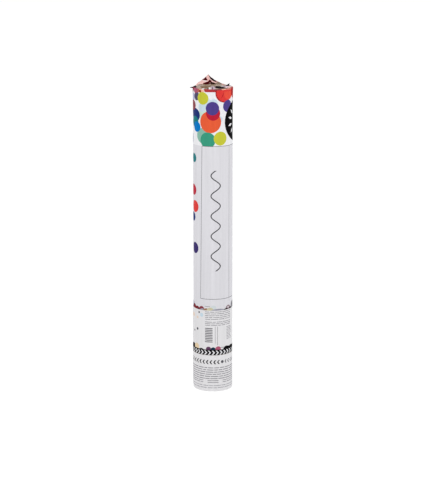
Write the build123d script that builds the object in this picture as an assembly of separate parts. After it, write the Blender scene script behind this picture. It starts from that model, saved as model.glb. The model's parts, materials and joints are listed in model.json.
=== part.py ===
from build123d import *
import math
import os

# Twist-fired confetti popper: a card barrel in printed film, a base that twists on a sleeve, an air
# cartridge with a stopper that a cam pulls out, stacks of paper discs, and film folded over the mouth.
# Millimetres, +Z up. The origin is the centre of the base's underside, and the printed front faces -Y.

# Outside sizes
OUTER_RADIUS = 25.0
BODY_HEIGHT = 392.0
GRIP_HEIGHT = 48.5
SEAM_GAP = 0.6

# Walls
FILM_THICKNESS = 0.3
CARD_WALL = 2.0
SLEEVE_WALL = 1.7

# Clearances
GLUE_LINE = 0.05
RUNNING_CLEARANCE = 0.25
SEAT_GAP = 0.3

# Base plug and the ring that keeps the base on the sleeve
PLUG_FLOOR = 2.5
PLUG_HEIGHT = 14.0
PLUG_CHAMFER = 0.6
FILL_PORT_RADIUS = 7.0
SLEEVE_LIFT = 2.0
GROOVE_RISE = 5.0
GROOVE_DEPTH = 0.8
RING_HEIGHT = 3.4
RING_SPLIT = 4.0

# Air cartridge
CARTRIDGE_CLEARANCE = 0.9
CARTRIDGE_WALL = 1.0
CARTRIDGE_SIDE = 61.5
CARTRIDGE_SHOULDER = 14.0
NECK_RADIUS = 9.0
NECK_LENGTH = 12.0
BASE_DISH = 4.0
BASE_PAD_RADIUS = 6.0
FOOT_WIDTH = 5.0
FOOT_ROUND = 2.0
SHOULDER_ROUND = 8.0

# Filling valve in the cartridge's dished bottom
VALVE_RADIUS = 3.0
VALVE_FLANGE = 2.2
VALVE_HEAD = 1.6

# Outlet on the neck
GASKET_THICKNESS = 1.0
OUTLET_WALL = 2.95
OUTLET_GRIP = 8.0
LAND_RADIUS = 6.0
LAND_LENGTH = 8.0
CROWN_MARGIN = 2.5

# Stopper, its O-rings and its cross pin
SHANK_CLEARANCE = 0.1
SEAL_CLEARANCE = 0.03
SEAL_SECTION = 0.9
SEAL_GROOVE_WIDTH = 2.0
SEAL_SPACING = 4.0
HEAD_HEIGHT = 8.7
PIN_RADIUS = 1.5
PIN_RECESS = 0.5
STOPPER_LIFT = 6.0
TWIST_ANGLE = 90.0

# Cam collar
HUB_WALL = 3.2
HUB_MARGIN = 6.2
WEB_MARGIN = 1.2
WEB_THICKNESS = 3.0
RIM_DEPTH = 13.0
RIM_LIP = 2.0

# Charge
PUSHER_THICKNESS = 2.0
COVER_THICKNESS = 1.0
STACK_HEIGHT = 15.5
COLUMN_COUNT = 3
COLUMN_GAP = 0.3
CONFETTI_COLOURS = ["red", "mint", "blue", "orange", "turquoise", "pink", "pale_green", "hot_pink"]
COLUMN_STEP = 3

# Film folded over the mouth
FLAP_COUNT = 8
FLAP_SIDE_GAP = 0.2
HINGE_RISE = 0.5
APEX_RISE = 16.0
APEX_SHIFT = -6.0

# Radii, from the outside in
tube_outer = OUTER_RADIUS - FILM_THICKNESS - GLUE_LINE
tube_inner = tube_outer - CARD_WALL
glued_radius = tube_inner - GLUE_LINE
running_radius = tube_inner - RUNNING_CLEARANCE
sleeve_inner = glued_radius - SLEEVE_WALL
groove_radius = running_radius - GROOVE_DEPTH
ring_inner = groove_radius + RUNNING_CLEARANCE
cartridge_radius = sleeve_inner - CARTRIDGE_CLEARANCE
neck_inner = NECK_RADIUS - CARTRIDGE_WALL
outlet_inner = NECK_RADIUS + GLUE_LINE
outlet_outer = outlet_inner + OUTLET_WALL
head_radius = outlet_inner - RUNNING_CLEARANCE
hub_inner = outlet_outer + SEAT_GAP
hub_outer = hub_inner + HUB_WALL
wad_radius = tube_inner - RUNNING_CLEARANCE - GLUE_LINE

# Heights, from the floor up
barrel_bottom = GRIP_HEIGHT + SEAM_GAP
sleeve_bottom = PLUG_HEIGHT + SLEEVE_LIFT
groove_bottom = sleeve_bottom + GROOVE_RISE
groove_top = groove_bottom + RING_HEIGHT + 2 * SEAT_GAP
shoulder_bottom = PLUG_FLOOR + CARTRIDGE_SIDE
neck_bottom = shoulder_bottom + CARTRIDGE_SHOULDER
neck_top = neck_bottom + NECK_LENGTH
land_bottom = neck_top + GASKET_THICKNESS
land_top = land_bottom + LAND_LENGTH
head_bottom = land_top + SEAT_GAP
head_top = head_bottom + HEAD_HEIGHT
pin_height = (head_bottom + head_top) / 2
slot_half = PIN_RADIUS + SEAT_GAP
crown_top = pin_height + STOPPER_LIFT + PIN_RADIUS + CROWN_MARGIN
hub_bottom = pin_height - slot_half - HUB_MARGIN
web_bottom = pin_height + STOPPER_LIFT + slot_half + WEB_MARGIN
web_top = web_bottom + WEB_THICKNESS
rim_bottom = web_bottom - RIM_DEPTH
rim_top = web_top + RIM_LIP
pusher_bottom = rim_top + SEAT_GAP
pusher_top = pusher_bottom + PUSHER_THICKNESS
charge_top = pusher_top + len(CONFETTI_COLOURS) * STACK_HEIGHT
hinge_height = BODY_HEIGHT + HINGE_RISE


def turned(outline):
    """Solid turned about Z from the corners of its half section, each a radius and a height."""
    section = make_face(Polyline(*outline, close=True))
    return revolve(Plane.XZ * section, Axis.Z)


def ring(outer, inner, low, high):
    """Plain ring between two radii and two heights."""
    return turned([(inner, low), (outer, low), (outer, high), (inner, high)])


def disc(radius, low, high):
    """Plain disc on the axis between two heights."""
    return Pos(0, 0, low) * Cylinder(radius, high - low, align=(Align.CENTER, Align.CENTER, Align.MIN))


def radial_rod(radius, length, angle, height):
    """Round rod from the axis outwards, at an angle about Z."""
    direction = (math.cos(math.radians(angle)), math.sin(math.radians(angle)), 0)
    rod = Cylinder(radius, length, align=(Align.CENTER, Align.CENTER, Align.MIN))
    return Plane(origin=(0, 0, height), z_dir=direction) * rod


def cross_rod(radius, half_length, height):
    """Round rod along X, centred on the axis."""
    return Pos(0, 0, height) * (Rot(0, 90, 0) * Cylinder(radius, 2 * half_length))


def base_plug():
    """Cup that closes the base, holds the cartridge's foot and leaves a port to the filling valve."""
    cup_inner = cartridge_radius + GLUE_LINE
    return turned([
        (FILL_PORT_RADIUS, 0),
        (glued_radius - PLUG_CHAMFER, 0),
        (glued_radius, PLUG_CHAMFER),
        (glued_radius, PLUG_HEIGHT),
        (cup_inner, PLUG_HEIGHT),
        (cup_inner, PLUG_FLOOR),
        (FILL_PORT_RADIUS, PLUG_FLOOR),
    ])


def coupling_sleeve():
    """Sleeve glued in the barrel, thinner where the base turns on it, with the ring's groove."""
    return turned([
        (sleeve_inner, sleeve_bottom),
        (running_radius, sleeve_bottom),
        (running_radius, groove_bottom),
        (groove_radius, groove_bottom),
        (groove_radius, groove_top),
        (running_radius, groove_top),
        (running_radius, barrel_bottom),
        (glued_radius, barrel_bottom),
        (glued_radius, rim_bottom),
        (sleeve_inner, rim_bottom),
    ])


def retaining_ring():
    """Split ring glued in the base, running in the sleeve's groove."""
    low = groove_bottom + SEAT_GAP
    whole = ring(glued_radius, ring_inner, low, low + RING_HEIGHT)
    split = Pos(0, glued_radius, low) * Box(RING_SPLIT, glued_radius, 2 * RING_HEIGHT)
    return whole - split


def air_cartridge():
    """Thin bottle with a dished bottom, a round shoulder and an open neck."""
    foot_radius = cartridge_radius - FOOT_WIDTH
    bottom_rise = PLUG_FLOOR + CARTRIDGE_WALL
    inner_radius = cartridge_radius - CARTRIDGE_WALL
    inner_foot_round = FOOT_ROUND / 2
    outside = FilletPolyline(
        (VALVE_RADIUS, PLUG_FLOOR + BASE_DISH),
        (BASE_PAD_RADIUS, PLUG_FLOOR + BASE_DISH),
        (foot_radius, PLUG_FLOOR),
        (cartridge_radius, PLUG_FLOOR),
        (cartridge_radius, shoulder_bottom),
        (NECK_RADIUS, neck_bottom),
        (NECK_RADIUS, neck_top),
        radius=[0, FOOT_ROUND, FOOT_ROUND, SHOULDER_ROUND, FOOT_ROUND],
    )
    inside = FilletPolyline(
        (VALVE_RADIUS, bottom_rise + BASE_DISH),
        (BASE_PAD_RADIUS, bottom_rise + BASE_DISH),
        (foot_radius, bottom_rise),
        (inner_radius, bottom_rise),
        (inner_radius, shoulder_bottom),
        (neck_inner, neck_bottom),
        (neck_inner, neck_top),
        radius=[0, FOOT_ROUND, inner_foot_round, SHOULDER_ROUND, FOOT_ROUND],
    )
    ends = [Line(outside @ 0, inside @ 0), Line(outside @ 1, inside @ 1)]
    section = make_face(outside.edges() + inside.edges() + ends)
    return revolve(Plane.XZ * section, Axis.Z)


def fill_valve():
    """Rubber button with a head on each side of the cartridge's dished bottom."""
    pad_low = PLUG_FLOOR + BASE_DISH
    pad_high = pad_low + CARTRIDGE_WALL
    shank = VALVE_RADIUS - GLUE_LINE
    head = VALVE_RADIUS + VALVE_FLANGE
    return turned([
        (0, pad_low - VALVE_HEAD),
        (shank, pad_low - VALVE_HEAD),
        (head, pad_low),
        (shank, pad_low),
        (shank, pad_high),
        (head, pad_high),
        (shank, pad_high + VALVE_HEAD),
        (0, pad_high + VALVE_HEAD),
    ])


def valve_neck():
    """Outlet glued on the neck: a skirt, the land that the stopper seals in, and a slotted crown."""
    body = turned([
        (outlet_inner, neck_top - OUTLET_GRIP),
        (outlet_outer, neck_top - OUTLET_GRIP),
        (outlet_outer, crown_top),
        (outlet_inner, crown_top),
        (outlet_inner, land_top),
        (LAND_RADIUS, land_top),
        (LAND_RADIUS, land_bottom),
        (outlet_inner, land_bottom),
    ])
    slot_height = crown_top - pin_height
    slot = Pos(0, 0, pin_height) * Box(
        4 * outlet_outer, 2 * slot_half, 2 * slot_height, align=(Align.CENTER, Align.CENTER, Align.MIN)
    )
    return body - slot - cross_rod(slot_half, 2 * outlet_outer, pin_height)


def seal_heights():
    """Heights of the O-rings, centred in the land."""
    middle = (land_bottom + land_top) / 2
    return [middle - SEAL_SPACING / 2, middle + SEAL_SPACING / 2]


def stopper():
    """Plug with a grooved shank in the land and a head in the crown, bored for the cross pin."""
    shank = LAND_RADIUS - SHANK_CLEARANCE
    groove = LAND_RADIUS - SEAL_CLEARANCE - 2 * SEAL_SECTION - GLUE_LINE
    outline = [(0, land_bottom), (shank, land_bottom)]
    for height in seal_heights():
        low = height - SEAL_GROOVE_WIDTH / 2
        high = height + SEAL_GROOVE_WIDTH / 2
        outline += [(shank, low), (groove, low), (groove, high), (shank, high)]
    outline += [(shank, head_bottom), (head_radius, head_bottom), (head_radius, head_top), (0, head_top)]
    return turned(outline) - cross_rod(PIN_RADIUS + GLUE_LINE, 2 * head_radius, pin_height)


def stopper_o_rings():
    """Two O-rings that fill the land's bore."""
    middle_radius = LAND_RADIUS - SEAL_CLEARANCE - SEAL_SECTION
    return [Pos(0, 0, height) * Torus(middle_radius, SEAL_SECTION) for height in seal_heights()]


def cross_pin():
    """Pin through the stopper's head that reaches into both of the cam's slots."""
    return cross_rod(PIN_RADIUS, hub_outer - PIN_RECESS, pin_height)


def cam_slot(start_angle):
    """Cutters for one helical slot, which climbs by the lift while it turns clockwise from above."""
    pitch = STOPPER_LIFT * 360 / TWIST_ANGLE
    middle_radius = (hub_inner + hub_outer) / 2
    path = Helix(pitch, STOPPER_LIFT, middle_radius, center=(0, 0, pin_height), lefthand=True)
    section_plane = Plane(origin=path @ 0, x_dir=(1, 0, 0), z_dir=path % 0)
    section = section_plane * Rectangle(3 * HUB_WALL, 2 * slot_half)
    reach = hub_outer + HUB_WALL
    cutters = [
        sweep(section, path=path, is_frenet=True),
        radial_rod(slot_half, reach, 0, pin_height),
        radial_rod(slot_half, reach, -TWIST_ANGLE, pin_height + STOPPER_LIFT),
    ]
    return [Rot(0, 0, start_angle) * cutter for cutter in cutters]


def cam_collar():
    """Collar glued in the barrel: a hub with two helical slots, a web, and a rim that carries the charge."""
    collar = turned([
        (hub_inner, hub_bottom),
        (hub_outer, hub_bottom),
        (hub_outer, web_bottom),
        (sleeve_inner, web_bottom),
        (sleeve_inner, rim_bottom),
        (glued_radius, rim_bottom),
        (glued_radius, rim_top),
        (sleeve_inner, rim_top),
        (sleeve_inner, web_top),
        (hub_inner, web_top),
    ])
    for start_angle in (0, 180):
        for cutter in cam_slot(start_angle):
            collar -= cutter
    return collar


def confetti_stacks(colour_number):
    """One colour's stacks of paper discs: one in each column, each in another layer."""
    touching_radius = wad_radius / (1 + 1 / math.sin(math.pi / COLUMN_COUNT))
    column_radius = wad_radius - touching_radius
    stacks = []
    for column in range(COLUMN_COUNT):
        angle = math.radians(90 + 360 / COLUMN_COUNT * column)
        layer = (colour_number + COLUMN_STEP * column) % len(CONFETTI_COLOURS)
        low = pusher_top + layer * STACK_HEIGHT
        stack = disc(touching_radius - COLUMN_GAP / 2, low, low + STACK_HEIGHT)
        stacks.append(Pos(column_radius * math.cos(angle), column_radius * math.sin(angle), 0) * stack)
    return stacks


def foil_flap(number):
    """Flat flap of film from one side of the mouth's edge to the shared peak."""
    half_step = math.pi / FLAP_COUNT
    angle = 2 * half_step * (number + 0.5)
    hinge_radius = OUTER_RADIUS - FILM_THICKNESS / 2
    start = Vector(math.cos(angle - half_step), math.sin(angle - half_step)) * hinge_radius
    end = Vector(math.cos(angle + half_step), math.sin(angle + half_step)) * hinge_radius
    middle = (start + end) * 0.5 + Vector(0, 0, hinge_height)
    peak = Vector(APEX_SHIFT, 0, BODY_HEIGHT + APEX_RISE)
    along = (end - start).normalized()
    outward = along.cross(peak - middle).normalized()
    flap_plane = Plane(origin=middle, x_dir=along, z_dir=outward)
    half_width = (end - start).length / 2
    tip = flap_plane.to_local_coords(peak)
    outline = make_face(Polyline((-half_width, 0), (half_width, 0), (tip.X, tip.Y), close=True))
    return extrude(flap_plane * offset(outline, -FLAP_SIDE_GAP), FILM_THICKNESS)


nodes = {
    "barrel_tube": ring(tube_outer, tube_inner, barrel_bottom, BODY_HEIGHT),
    "barrel_wrap": ring(OUTER_RADIUS, OUTER_RADIUS - FILM_THICKNESS, barrel_bottom, BODY_HEIGHT),
    "coupling_sleeve": coupling_sleeve(),
    "cam_collar": cam_collar(),
    "grip_tube": ring(tube_outer, tube_inner, 0, GRIP_HEIGHT),
    "grip_wrap": ring(OUTER_RADIUS, OUTER_RADIUS - FILM_THICKNESS, 0, GRIP_HEIGHT),
    "base_plug": base_plug(),
    "retaining_ring": retaining_ring(),
    "air_cartridge": air_cartridge(),
    "fill_valve": fill_valve(),
    "neck_gasket": ring(NECK_RADIUS, neck_inner, neck_top, land_bottom),
    "valve_neck": valve_neck(),
    "stopper": stopper(),
    "stopper_o_rings": stopper_o_rings(),
    "cross_pin": cross_pin(),
    "pusher_disc": disc(wad_radius, pusher_bottom, pusher_top),
    "cover_disc": disc(wad_radius, charge_top, charge_top + COVER_THICKNESS),
}
for colour_number, colour in enumerate(CONFETTI_COLOURS):
    nodes["confetti_" + colour] = confetti_stacks(colour_number)
for flap_number in range(FLAP_COUNT):
    nodes["foil_flap_" + str(flap_number + 1)] = foil_flap(flap_number)

os.makedirs("parts", exist_ok=True)
for name, shape in nodes.items():
    solids = Compound(children=shape) if isinstance(shape, list) else shape
    export_step(solids, "parts/" + name + ".step")

print("pin height", round(pin_height, 3), "charge from", round(pusher_bottom, 3), "to", round(charge_top, 3))
print("travel to the mouth", round(BODY_HEIGHT - pusher_top, 3))
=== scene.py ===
import json
import math
import random
from collections import Counter

import bmesh
import bpy
from mathutils import Matrix, Vector, noise
from mathutils.geometry import delaunay_2d_cdt


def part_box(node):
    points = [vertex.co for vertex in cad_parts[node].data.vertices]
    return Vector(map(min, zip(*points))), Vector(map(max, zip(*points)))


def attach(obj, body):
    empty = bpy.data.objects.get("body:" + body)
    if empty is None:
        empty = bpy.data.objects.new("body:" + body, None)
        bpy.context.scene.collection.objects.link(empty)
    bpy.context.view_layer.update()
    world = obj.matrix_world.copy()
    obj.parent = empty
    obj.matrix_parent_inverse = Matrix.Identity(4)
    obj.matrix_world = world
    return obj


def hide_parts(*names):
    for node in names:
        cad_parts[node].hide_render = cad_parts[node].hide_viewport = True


# Dresses the confetti popper: printed film on the barrel and the base, crumpled foil over the mouth, piles
# of paper discs, and materials for the card, plastic and metal inside. Lengths are in millimetres in the
# frame's axes. A place on the film is an angle in degrees from the front, -Y, towards +X, and a height.

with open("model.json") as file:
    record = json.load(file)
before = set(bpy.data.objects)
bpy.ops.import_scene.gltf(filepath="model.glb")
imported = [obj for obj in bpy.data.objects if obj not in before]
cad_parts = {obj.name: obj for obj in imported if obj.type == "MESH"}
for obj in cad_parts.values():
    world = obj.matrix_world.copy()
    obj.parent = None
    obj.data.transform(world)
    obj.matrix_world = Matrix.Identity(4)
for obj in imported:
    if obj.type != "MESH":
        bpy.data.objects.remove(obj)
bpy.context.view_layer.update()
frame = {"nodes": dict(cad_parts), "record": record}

MM = 0.001


def cad_corners(node):
    """Lowest and highest corner of a node of the frame, in millimetres."""
    return [Vector(corner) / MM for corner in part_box(node)]


# Sizes read from the frame
BARREL_LOW = cad_corners("barrel_wrap")[0].z
FILM_RADIUS, _, RIM_HEIGHT = cad_corners("barrel_wrap")[1]
GRIP_LOW, GRIP_HIGH = [corner.z for corner in cad_corners("grip_wrap")]
WAD_RADIUS, _, STACKS_LOW = cad_corners("pusher_disc")[1]
STACKS_HIGH = cad_corners("cover_disc")[0].z
DEGREE = math.pi * FILM_RADIUS / 180
HALF_TURN = 180 * DEGREE

# Film and how it is split into faces
FILM_THICKNESS = 0.25
LONGEST_EDGE = 1.1
FILM_COLUMNS = 160
PLAIN_ROW = 4.5
GATHERED_ROW = 1.1
GATHERED_DEPTH = 26
SMALLEST_SHAPE = 0.01
CUT_TOLERANCE = 1e-4

# Where the film stands off the plain cylinder; a gather is a count round the tube, a start and a share
LAP_ANGLE = 168.0
LAP_RISE = 0.3
LAP_EASE = 8.0
TURNOVER_RISE = 0.5
TURNOVER_LENGTH = 2.0
GATHERS = [(17, 3.5, 0.5), (23, 1.9, 0.35), (31, 4.1, 0.3)]
GATHER_DEPTH = 0.34
GATHER_FADE = 13.0
GATHER_LEAN = 0.05
SLACK_ANGLE = -100.0
SLACK_REACH = 50.0
SLACK_RISE = 1.0
SLACK_FADE = 6.0

# Foil over the mouth, as the folded flaps of the frame have it, and its crumpling as fineness and height
FLAP_COUNT = 8
FRONT_FLAPS = (5, 6, 7, 8)
HINGE_RADIUS = 24.85
HINGE_HEIGHT = RIM_HEIGHT + 0.5
PEAK = Vector((-6.0, 0.0, RIM_HEIGHT + 16.0))
FOIL_THICKNESS = 0.15
FOLD_STEPS = 6
SIDE_STEPS = 15
FACET_TRIES = 120
FACET_SPACING = 3.4
FACET_MARGIN = 1.2
FACET_CUTS = 2
CRUMPLES = [(0.19, 1.9), (0.47, 0.7)]
FOLD_HOLD = 5
PEAK_HOLD = 0.6
CORNER_SAGS = [3.4, 3.0, 1.2, 0.5, 0.9, 0.5, 0.8, 2.6]
RIPPLES = [(0.55, 0.32), (1.3, 0.16)]
RIPPLE_START = 2
NOISE_SEED = 4
FLAP_SEED = 20

# Paper discs
COLUMN_COUNT = 3
COLUMN_STEP = 3
DISCS_PER_STACK = 22
DISC_SIDES = 36
DISC_RING = 0.62
DISC_GAP = 0.6
DISC_SEAT = 0.2
PAPER_THICKNESS = 0.35
LARGEST_SHIFT = 0.3
LARGEST_TILT = 0.7
LARGEST_TURN = 6.28
LARGEST_CUP = 0.12
CONFETTI_SEED = 100

# Stage, light and camera, in metres
FLOOR_SIZE = 12.0
FLOOR_HEIGHT = -0.0002
FLOOR_COLOUR = (0.86, 0.86, 0.86, 1.0)
FLOOR_GLOW = 1.15
FLOOR_GLOW_SHARE = 0.8
WHITE_LIGHT = (1, 1, 1, 1)
WORLD_STRENGTH = 0.58
LAMP_SIZE = 1.2
LAMPS = [("key", (-1.5, -1.0, 1.2), 13.0), ("fill", (1.5, -1.0, 0.8), 11.0)]
CAMERA_TARGET = Vector((0.00588, 0.0, 0.18523))
CAMERA_DISTANCE = 2.2
CAMERA_ELEVATION = math.radians(13.60)
CAMERA_LENS = 124.93


# Colours

def shade(*display):
    """Linear colour from a display colour of 0 to 255."""
    levels = [value / 255 for value in display]
    linear = [level / 12.92 if level <= 0.04045 else ((level + 0.055) / 1.055) ** 2.4 for level in levels]
    return (*linear, 1.0)


def scaled(colour, factor):
    """A colour made lighter or darker."""
    return tuple(min(1.0, channel * factor) for channel in colour[:3]) + (1.0,)


# Display colours of the print
INKS = {
    "white": (243, 243, 246), "pearl": (228, 227, 232), "label": (235, 234, 236),
    "lime": (204, 205, 62), "purple": (80, 66, 140), "red": (228, 62, 58), "crimson": (190, 32, 56),
    "brick": (172, 34, 38), "wine": (122, 24, 38), "vermilion": (240, 82, 64),
    "orange": (236, 96, 58), "ochre": (164, 128, 98), "navy": (26, 48, 116),
    "indigo": (58, 46, 108), "blue": (0, 122, 200), "teal": (22, 122, 128), "green": (60, 158, 128),
    "sea_green": (140, 190, 172), "magenta": (184, 72, 134), "plum": (98, 62, 94),
    "raspberry": (176, 88, 116), "rosewood": (142, 64, 74), "cherry": (178, 58, 64),
    "clay": (190, 104, 92), "apricot": (250, 192, 168), "dusk": (84, 78, 108),
    "petrol": (32, 56, 74), "gold": (238, 214, 178), "straw": (208, 202, 168),
    "lilac": (160, 158, 172), "mauve": (148, 124, 132), "peach": (240, 216, 196),
    "salmon": (222, 134, 120), "rust": (160, 76, 36), "lavender": (186, 188, 218),
    "pale_blue": (206, 226, 238), "pale_mint": (204, 230, 216), "mist": (212, 220, 223),
    "black": (12, 11, 13), "light_grey": (180, 179, 184), "grey": (144, 142, 148),
    "dark_grey": (104, 102, 108), "slate": (88, 88, 94), "charcoal": (50, 50, 54),
}
INK_GLOSS = 0.05
BLACK_GLOSS = 0.01

# Foil: colour, share of metal, gloss. Lining is the silver inner side. The other colours paint the crumpled
# foil's light and shade over its pink film: the pinks, mauve and near-white are painted highlights, bronze
# and taupe a painted reflection, and maroon and the near-black red painted shade
FOILS = {
    "blush": ((255, 196, 190), 0.1, 0.15),
    "rose": ((228, 128, 132), 0.3, 0.25),
    "maroon": ((74, 0, 12), 0.0, 0.0),
    "painted_shadow": ((28, 4, 7), 0.0, 0.0),
    "bronze": ((136, 110, 86), 0.3, 0.1),
    "taupe": ((178, 158, 142), 0.3, 0.1),
    "dark": ((26, 16, 24), 0.0, 0.01),
    "mauve": ((206, 182, 198), 0.3, 0.15),
    "painted_highlight": ((252, 248, 248), 0.2, 0.25),
    "lining": ((206, 206, 210), 0.9, 0.25),
}

# Paper discs, in the order of their stacks
CONFETTI_SHADES = {
    "red": (203, 38, 54),
    "mint": (143, 197, 166),
    "blue": (36, 86, 162),
    "orange": (226, 112, 72),
    "turquoise": (20, 168, 200),
    "pink": (232, 162, 190),
    "pale_green": (188, 198, 142),
    "hot_pink": (232, 72, 160),
}


# Materials

EVEN = (1, 1, 1)
NOISE_LOW = 0.3
NOISE_HIGH = 0.7
SEAM_SHARE = 0.025
WINDING_PITCH = 62.0


def add_node(tree, kind, values=None, **settings):
    """Adds a node with its settings; each of its sockets gets a value or a link."""
    made = tree.nodes.new(kind)
    for setting, value in settings.items():
        setattr(made, setting, value)
    for socket, value in (values or {}).items():
        if isinstance(value, bpy.types.NodeSocket):
            tree.links.new(value, made.inputs[socket])
        else:
            made.inputs[socket].default_value = value
    return made


def worked_out(tree, operation, *values):
    """Result of a sum on numbers or outputs."""
    return add_node(tree, "ShaderNodeMath", dict(enumerate(values)), operation=operation).outputs[0]


def mixed_colour(tree, factor, first, second):
    """Goes from one colour to another."""
    return add_node(tree, "ShaderNodeMix", {0: factor, 6: first, 7: second}, data_type="RGBA").outputs[2]


def new_material(name, values):
    """Material with one Principled shader, whose sockets get these numbers."""
    material = bpy.data.materials.new(name)
    material.use_nodes = True
    shader = material.node_tree.nodes["Principled BSDF"]
    for socket, value in values.items():
        shader.inputs[socket].default_value = value
    return material, material.node_tree, shader


def grain(tree, scale, stretch, detail=3.0):
    """Noise fixed to the piece, in features per metre, drawn out along an axis."""
    place = add_node(tree, "ShaderNodeTexCoord").outputs["Object"]
    mapped = add_node(tree, "ShaderNodeMapping", {"Vector": place, "Scale": stretch})
    texture = add_node(tree, "ShaderNodeTexNoise", {
        "Vector": mapped.outputs["Vector"], "Scale": scale, "Detail": detail})
    return texture.outputs["Fac"]


def spread(tree, value, low, high):
    """Takes the middle of a noise to a range of numbers."""
    ranged = add_node(tree, "ShaderNodeMapRange", {
        "Value": value, "From Min": NOISE_LOW, "From Max": NOISE_HIGH, "To Min": low, "To Max": high})
    return ranged.outputs["Result"]


def tones(tree, value, dark, light):
    """Takes the middle of a noise to a range of colours."""
    return mixed_colour(tree, spread(tree, value, 0.0, 1.0), dark, light)


def shades_of(tree, value, colour, darkest, lightest):
    """Takes the middle of a noise to darker and lighter shades of a colour."""
    return tones(tree, value, scaled(colour, darkest), scaled(colour, lightest))


def raised(tree, value, height):
    """Bump of this height in millimetres."""
    bump = add_node(tree, "ShaderNodeBump", {"Height": value, "Distance": height * MM})
    return bump.outputs["Normal"]


def connect(tree, shader, colour, roughness, normal):
    """Links what varies over the surface to the shader."""
    for socket, output in (("Base Color", colour), ("Roughness", roughness), ("Normal", normal)):
        tree.links.new(output, shader.inputs[socket])


def textured_material(name, colour, tone_grain, tones_to, face_grain, roughness, relief, values):
    """Material whose colour varies with one grain, and its roughness and relief with that or another."""
    material, tree, shader = new_material(name, values)
    tone = grain(tree, *tone_grain)
    face = grain(tree, *face_grain) if face_grain else tone
    connect(tree, shader, shades_of(tree, tone, colour, *tones_to), spread(tree, face, *roughness),
            raised(tree, face, relief))
    return material


def film_material(name, colour, gloss):
    """Glossy printed film: faint streaks of painted reflection and shade up the tube, and the fine ripple of
    thin film.
    """
    return textured_material(
        # The colour grain, drawn out up the tube, paints streaks of reflection and shade.
        name, colour, tone_grain=(260.0, (1, 1, 0.035)), tones_to=(0.955, 1.03),
        face_grain=(150.0, (1, 1, 0.4), 2.0), roughness=(0.4, 0.58), relief=0.05,
        values={"Specular IOR Level": gloss})


def foil_material(name, colour, metal, gloss):
    """Crumpled metallised film: fine creases, and gloss that varies with them."""
    return textured_material(
        name, colour, tone_grain=(160.0, EVEN, 2.0), tones_to=(0.82, 1.12),
        face_grain=(420.0, EVEN, 4.0), roughness=(0.2, 0.38), relief=0.12,
        values={"Metallic": metal, "Specular IOR Level": gloss, "Coat Weight": gloss, "Coat Roughness": 0.1})


def paper_material(name, colour):
    """Dyed tissue paper: a soft cloud in the colour and a matt, fibrous face."""
    return textured_material(
        name, colour, tone_grain=(120.0, EVEN), tones_to=(0.84, 1.12),
        face_grain=(900.0, (1, 1, 0.5), 5.0), roughness=(0.72, 0.95), relief=0.06,
        values={"Sheen Weight": 0.15, "Specular IOR Level": 0.25})


def board_material(name, colour):
    """Grey or brown board: flecks of pulp and a fibrous face."""
    return textured_material(
        name, colour, tone_grain=(1400.0, EVEN, 6.0), tones_to=(0.78, 1.15),
        face_grain=None, roughness=(0.78, 0.95), relief=0.08, values={"Specular IOR Level": 0.2})


def plastic_material(name, colour, roughness):
    """Moulded plastic: a faint cloud in the colour and a fine spark-eroded face."""
    return textured_material(
        name, colour, tone_grain=(90.0, EVEN), tones_to=(0.9, 1.1),
        face_grain=(2600.0, EVEN, 2.0), roughness=(roughness - 0.08, roughness + 0.1), relief=0.02,
        values={"IOR": 1.49})


def metal_material(name, colour, stretch, roughness):
    """Drawn or ground metal: fine lines along the way it was worked."""
    return textured_material(
        name, colour, tone_grain=(1500.0, stretch), tones_to=(0.86, 1.06),
        face_grain=None, roughness=(roughness - 0.06, roughness + 0.12), relief=0.01,
        values={"Metallic": 1.0})


def wound_card_material(name, colour):
    """Spiral-wound card: pulp flecks, and the strip's edge as a dark helical line."""
    material, tree, shader = new_material(name, {"Specular IOR Level": 0.2})
    flecks = grain(tree, scale=1100.0, stretch=(1, 1, 0.6), detail=6.0)
    place = add_node(tree, "ShaderNodeTexCoord").outputs["Object"]
    axes = add_node(tree, "ShaderNodeSeparateXYZ", {"Vector": place}).outputs
    turns = worked_out(tree, "DIVIDE", worked_out(tree, "ARCTAN2", axes["Y"], axes["X"]), math.tau)
    climb = worked_out(tree, "DIVIDE", axes["Z"], WINDING_PITCH * MM)
    across = worked_out(tree, "FRACT", worked_out(tree, "ADD", climb, turns))
    edge = worked_out(tree, "LESS_THAN", across, SEAM_SHARE)
    plain = shades_of(tree, flecks, colour, darkest=0.8, lightest=1.14)
    connect(tree, shader,
            colour=mixed_colour(tree, edge, plain, scaled(colour, 0.5)),
            roughness=spread(tree, flecks, low=0.75, high=0.95),
            normal=raised(tree, flecks, height=0.08))
    return material


def rubber_material(name):
    """Black moulded rubber with a dusty bloom."""
    material, tree, shader = new_material(name, {"Specular IOR Level": 0.3})
    bloom = grain(tree, scale=500.0, stretch=EVEN)
    connect(tree, shader,
            colour=tones(tree, bloom, dark=shade(26, 26, 27), light=shade(50, 49, 48)),
            roughness=spread(tree, bloom, low=0.62, high=0.85),
            normal=raised(tree, bloom, height=0.03))
    return material


ink_materials = {
    ink: film_material("film_" + ink, shade(*colour), BLACK_GLOSS if ink == "black" else INK_GLOSS)
    for ink, colour in INKS.items()}
foil_materials = {foil: foil_material("foil_" + foil, shade(*colour), metal, gloss)
                  for foil, (colour, metal, gloss) in FOILS.items()}
paper_materials = {name: paper_material("paper_" + name, shade(*colour))
                   for name, colour in CONFETTI_SHADES.items()}
ink_order = list(INKS)
foil_order = list(FOILS)

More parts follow.
